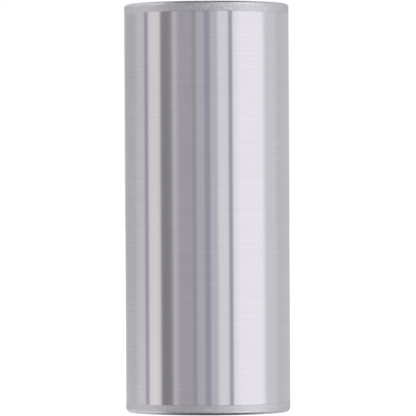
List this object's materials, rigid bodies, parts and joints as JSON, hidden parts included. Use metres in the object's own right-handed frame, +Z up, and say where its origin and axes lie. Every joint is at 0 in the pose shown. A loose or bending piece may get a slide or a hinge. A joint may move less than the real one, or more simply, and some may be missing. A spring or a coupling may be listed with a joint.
{
  "type": "cylinder puzzle",
  "caption": "Combination puzzle cylinder: a plain polished metal sleeve lifts off numbered lock rings and a pull-out core that holds a glass vial.",
  "frame": {"origin": "centre of the flat underside of the base", "axes": "+Z up the axis of the cylinder; -Y towards the index line, the side the code is read from; +X to the right of it"},
  "size_m": [0.05, 0.05, 0.124],
  "materials": {
    "polished_steel": "fine ground and polished, grain round the circumference",
    "satin_steel": "satin turned stainless steel",
    "dark_steel": "machined, lightly oiled steel",
    "hard_steel": "hardened bright steel",
    "brass": "turned brass, lightly aged",
    "seal_rubber": "black nitrile rubber",
    "vial_glass": "clear drawn glass",
    "cork": "natural cork",
    "note_paper": "rolled laid paper"
  },
  "bodies": {
    "base": {"base_cap": "satin_steel", "base_o_ring": "seal_rubber", "ring_carrier": "dark_steel", "base_screws": "dark_steel", "spacer_washer_1": "brass", "spacer_washer_2": "brass", "spacer_washer_3": "brass", "spacer_washer_4": "brass", "spacer_washer_5": "brass", "spacer_washer_6": "brass", "retaining_collar": "satin_steel", "collar_screws": "dark_steel", "upper_index_pin": "brass", "lower_index_pin": "brass", "detent_spring_1": "hard_steel", "detent_spring_2": "hard_steel", "detent_spring_3": "hard_steel", "detent_spring_4": "hard_steel", "detent_spring_5": "hard_steel"},
    "sleeve": {"cover_sleeve": "polished_steel", "top_bezel": "satin_steel"},
    "ring_1": {"digit_ring_1": "satin_steel", "code_ring_1": "brass", "ring_screw_1": "dark_steel"},
    "ring_2": {"digit_ring_2": "satin_steel", "code_ring_2": "brass", "ring_screw_2": "dark_steel"},
    "ring_3": {"digit_ring_3": "satin_steel", "code_ring_3": "brass", "ring_screw_3": "dark_steel"},
    "ring_4": {"digit_ring_4": "satin_steel", "code_ring_4": "brass", "ring_screw_4": "dark_steel"},
    "ring_5": {"digit_ring_5": "satin_steel", "code_ring_5": "brass", "ring_screw_5": "dark_steel"},
    "ball_1": {"detent_ball_1": "hard_steel"},
    "ball_2": {"detent_ball_2": "hard_steel"},
    "ball_3": {"detent_ball_3": "hard_steel"},
    "ball_4": {"detent_ball_4": "hard_steel"},
    "ball_5": {"detent_ball_5": "hard_steel"},
    "core": {"core_tube": "brass", "lock_pin_1": "hard_steel", "lock_pin_2": "hard_steel", "lock_pin_3": "hard_steel", "lock_pin_4": "hard_steel", "lock_pin_5": "hard_steel", "pull_knob": "satin_steel", "knob_pin": "dark_steel", "core_plug": "dark_steel", "plug_o_ring": "seal_rubber", "glass_vial": "vial_glass", "vial_stopper": "cork", "note_scroll": "note_paper"}
  },
  "joints": [
    {"name": "sleeve_lift", "type": "slide", "parent": "base", "child": "sleeve", "axis": [0, 0, 1], "range_m": [0, 0.122]},
    {"name": "core_pull", "type": "slide", "parent": "base", "child": "core", "axis": [0, 0, 1], "range_m": [0, 0.105]},
    {"name": "ring_turn_1", "type": "hinge", "parent": "base", "child": "ring_1", "pos_m": [0, 0, 0], "axis": [0, 0, 1], "continuous": true},
    {"name": "ring_turn_2", "type": "hinge", "parent": "base", "child": "ring_2", "pos_m": [0, 0, 0], "axis": [0, 0, 1], "continuous": true},
    {"name": "ring_turn_3", "type": "hinge", "parent": "base", "child": "ring_3", "pos_m": [0, 0, 0], "axis": [0, 0, 1], "continuous": true},
    {"name": "ring_turn_4", "type": "hinge", "parent": "base", "child": "ring_4", "pos_m": [0, 0, 0], "axis": [0, 0, 1], "continuous": true},
    {"name": "ring_turn_5", "type": "hinge", "parent": "base", "child": "ring_5", "pos_m": [0, 0, 0], "axis": [0, 0, 1], "continuous": true},
    {"name": "ball_press_1", "type": "slide", "parent": "base", "child": "ball_1", "axis": [0, -1, 0], "range_m": [0, 0.0007], "stiffness_N_per_m": 400, "springref_m": -0.0006, "deforming": ["detent_spring_1"]},
    {"name": "ball_press_2", "type": "slide", "parent": "base", "child": "ball_2", "axis": [0, -1, 0], "range_m": [0, 0.0007], "stiffness_N_per_m": 400, "springref_m": -0.0006, "deforming": ["detent_spring_2"]},
    {"name": "ball_press_3", "type": "slide", "parent": "base", "child": "ball_3", "axis": [0, -1, 0], "range_m": [0, 0.0007], "stiffness_N_per_m": 400, "springref_m": -0.0006, "deforming": ["detent_spring_3"]},
    {"name": "ball_press_4", "type": "slide", "parent": "base", "child": "ball_4", "axis": [0, -1, 0], "range_m": [0, 0.0007], "stiffness_N_per_m": 400, "springref_m": -0.0006, "deforming": ["detent_spring_4"]},
    {"name": "ball_press_5", "type": "slide", "parent": "base", "child": "ball_5", "axis": [0, -1, 0], "range_m": [0, 0.0007], "stiffness_N_per_m": 400, "springref_m": -0.0006, "deforming": ["detent_spring_5"]}
  ]
}
